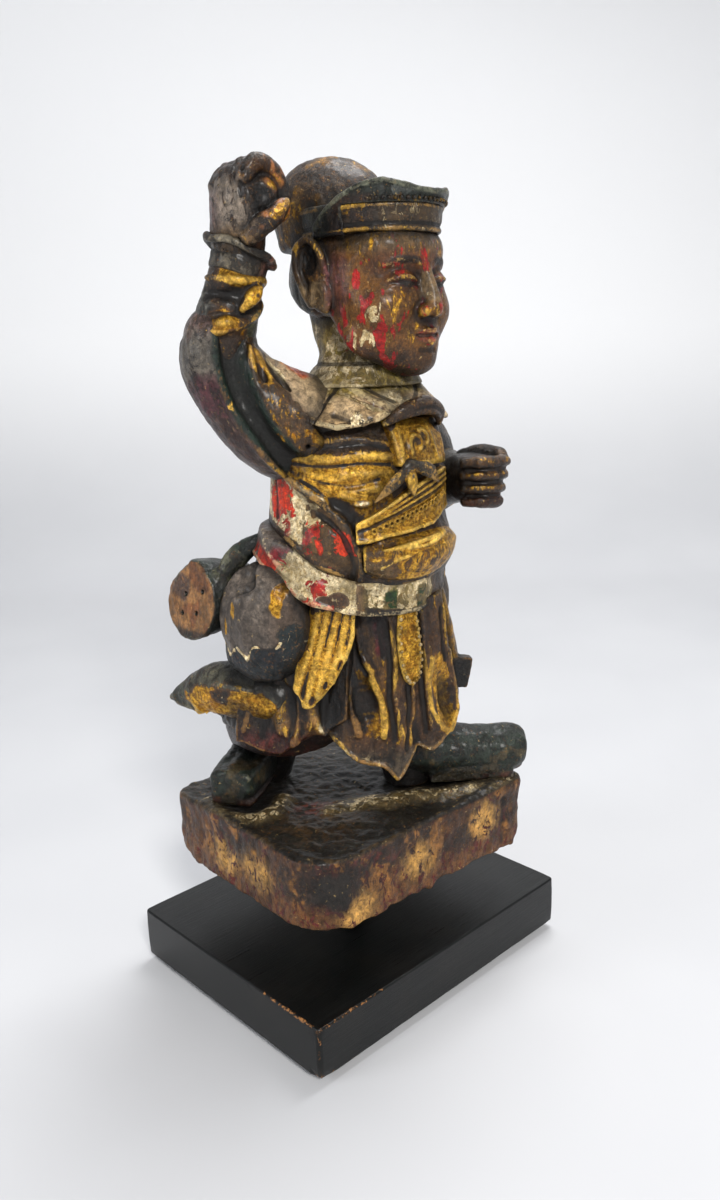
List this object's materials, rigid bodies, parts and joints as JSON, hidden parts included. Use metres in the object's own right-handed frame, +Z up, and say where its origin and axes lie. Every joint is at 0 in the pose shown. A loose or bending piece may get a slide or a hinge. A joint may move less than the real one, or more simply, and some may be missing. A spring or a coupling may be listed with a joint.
{
  "type": "carved temple figure",
  "caption": "Carved wooden standing figure with one raised fist, gilded and lacquered, on a rockwork base that drops over the post of a black display plinth.",
  "frame": {"origin": "centre of the plinth's footprint, on the plane it rests on (the felt's underside)", "axes": "+Z up; -Y is the way the figure faces; -X is the side of its raised right arm. The plinth's sides lie along X and Y"},
  "size_m": [0.127, 0.102, 0.2903],
  "materials": {
    "blackened_steel": "blackened, satin",
    "ebonised_wood": "ebonised, satin, fine straight grain",
    "felt": "wool felt",
    "bare_wood": "bare carved wood",
    "gold_leaf": "worn gold leaf over lacquer",
    "gilded_lacquer": "rubbed gilding over brown lacquer",
    "mottled_lacquer": "mottled brown and ochre lacquer",
    "green_black_lacquer": "green-black lacquer, satin",
    "dark_lacquer": "dark lacquer with worn gilding",
    "grey_lacquer": "slate-grey lacquer with gold traces",
    "face_lacquer": "brown and red lacquer flaking to gesso",
    "taupe_gesso": "taupe paint over cream gesso",
    "red_gesso": "red paint flaking to cream gesso",
    "brown_lacquer": "brown lacquer, worn",
    "red_brown_lacquer": "dark red-brown lacquer",
    "rock_lacquer": "worn dark lacquer over wood"
  },
  "bodies": {
    "stand": {"felt_underlay": "felt", "plinth": "ebonised_wood", "mounting_post": "blackened_steel", "post_washer": "blackened_steel", "post_nut": "blackened_steel"},
    "figure": {"hat_crown": "mottled_lacquer", "hat_visor": "green_black_lacquer", "hat_band": "green_black_lacquer", "head": "face_lacquer", "right_fist_peg": "bare_wood", "left_fist_peg": "bare_wood", "right_arm_peg": "bare_wood", "left_arm_peg": "bare_wood", "tail_stub_peg": "bare_wood", "right_fist": "dark_lacquer", "left_fist": "dark_lacquer", "right_sleeve_cuff": "grey_lacquer", "right_forearm": "gilded_lacquer", "left_forearm": "dark_lacquer", "shoulder_cape": "taupe_gesso", "neck": "taupe_gesso", "breastplate": "gold_leaf", "ribbon_bow": "gilded_lacquer", "beaded_sash": "gold_leaf", "belly_belt": "gold_leaf", "torso": "gilded_lacquer", "right_sleeve": "dark_lacquer", "left_sleeve": "dark_lacquer", "apron_tongue": "gold_leaf", "sash_tail_stub": "green_black_lacquer", "hanging_ribbon": "dark_lacquer", "right_tasset": "grey_lacquer", "left_tasset": "grey_lacquer", "hip_peplum": "red_gesso", "front_robe_panel": "brown_lacquer", "gilt_pleats": "gold_leaf", "rear_robe_hem": "grey_lacquer", "robe_skirt": "brown_lacquer", "under_robe": "red_brown_lacquer", "right_boot": "green_black_lacquer", "left_boot": "green_black_lacquer", "right_trouser_leg": "dark_lacquer", "left_trouser_leg": "dark_lacquer", "rockwork_base": "rock_lacquer"}
  },
  "joints": [
    {"name": "figure_lift_off", "type": "slide", "parent": "stand", "child": "figure", "axis": [0, 0, 1], "range_m": [0, 0.017]}
  ]
}
